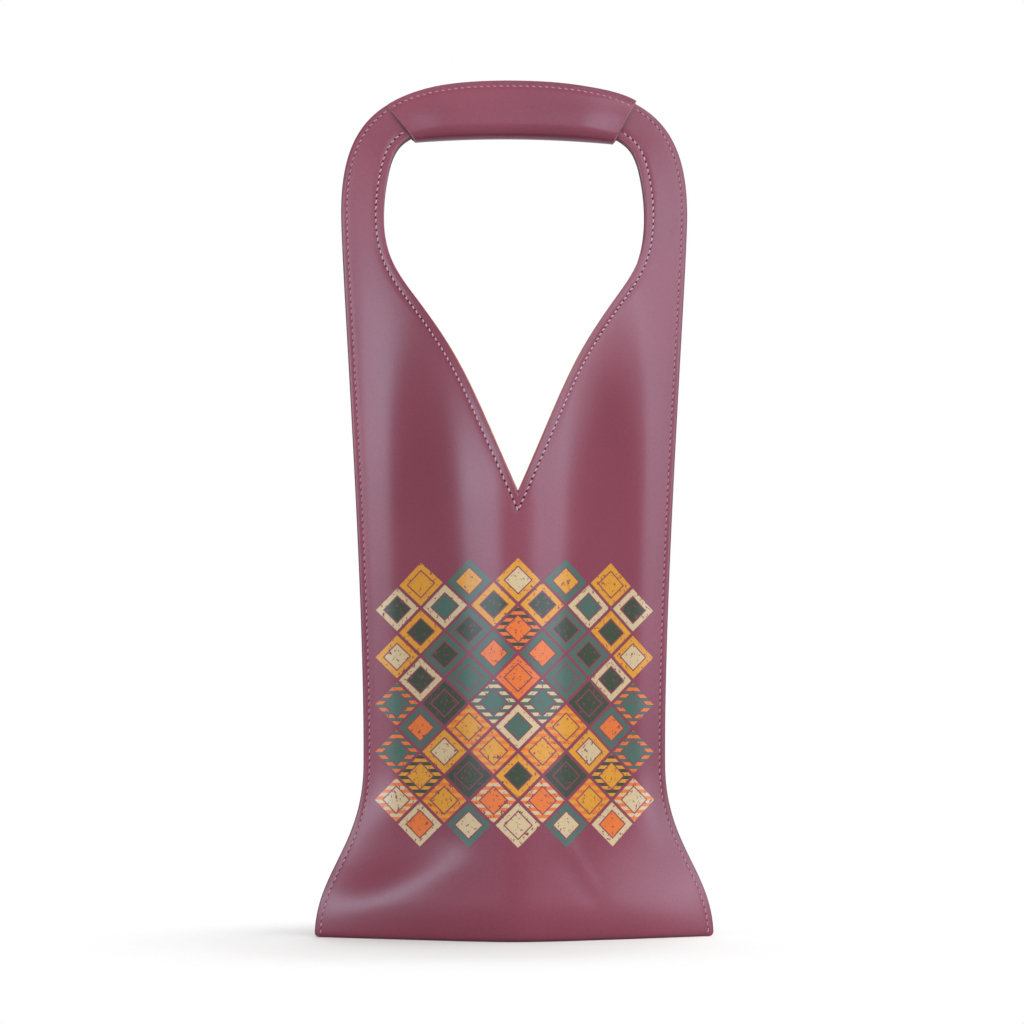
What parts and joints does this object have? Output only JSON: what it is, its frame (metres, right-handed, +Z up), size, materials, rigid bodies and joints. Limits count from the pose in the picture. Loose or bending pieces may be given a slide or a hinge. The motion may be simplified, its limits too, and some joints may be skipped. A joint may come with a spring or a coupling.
{
  "type": "bottle carrier",
  "caption": "Sewn leatherette carrier for a single bottle: a flared, lens-based pouch with a V neck that runs up into a padded handle loop.",
  "frame": {"origin": "on the floor, under the middle of the base", "axes": "+Z up towards the handle, +X across the front from left to right, +Y from the front panel to the back panel"},
  "size_m": [0.1848, 0.0904, 0.4057],
  "materials": {
    "leatherette": "satin grained coating, burgundy rose",
    "lining": "matt brushed backing cloth",
    "foam": "matt closed-cell foam",
    "thread": "satin sewing thread, pale rose"
  },
  "bodies": {
    "root": {"front_panel": "leatherette", "back_panel": "leatherette", "base_panel": "leatherette", "front_lining": "lining", "back_lining": "lining", "base_lining": "lining", "handle_wrap": "leatherette", "handle_foam": "foam", "side_thread_left": "thread", "side_thread_right": "thread", "wrap_thread": "thread", "neck_thread_front": "thread", "neck_thread_back": "thread"}
  },
  "joints": []
}
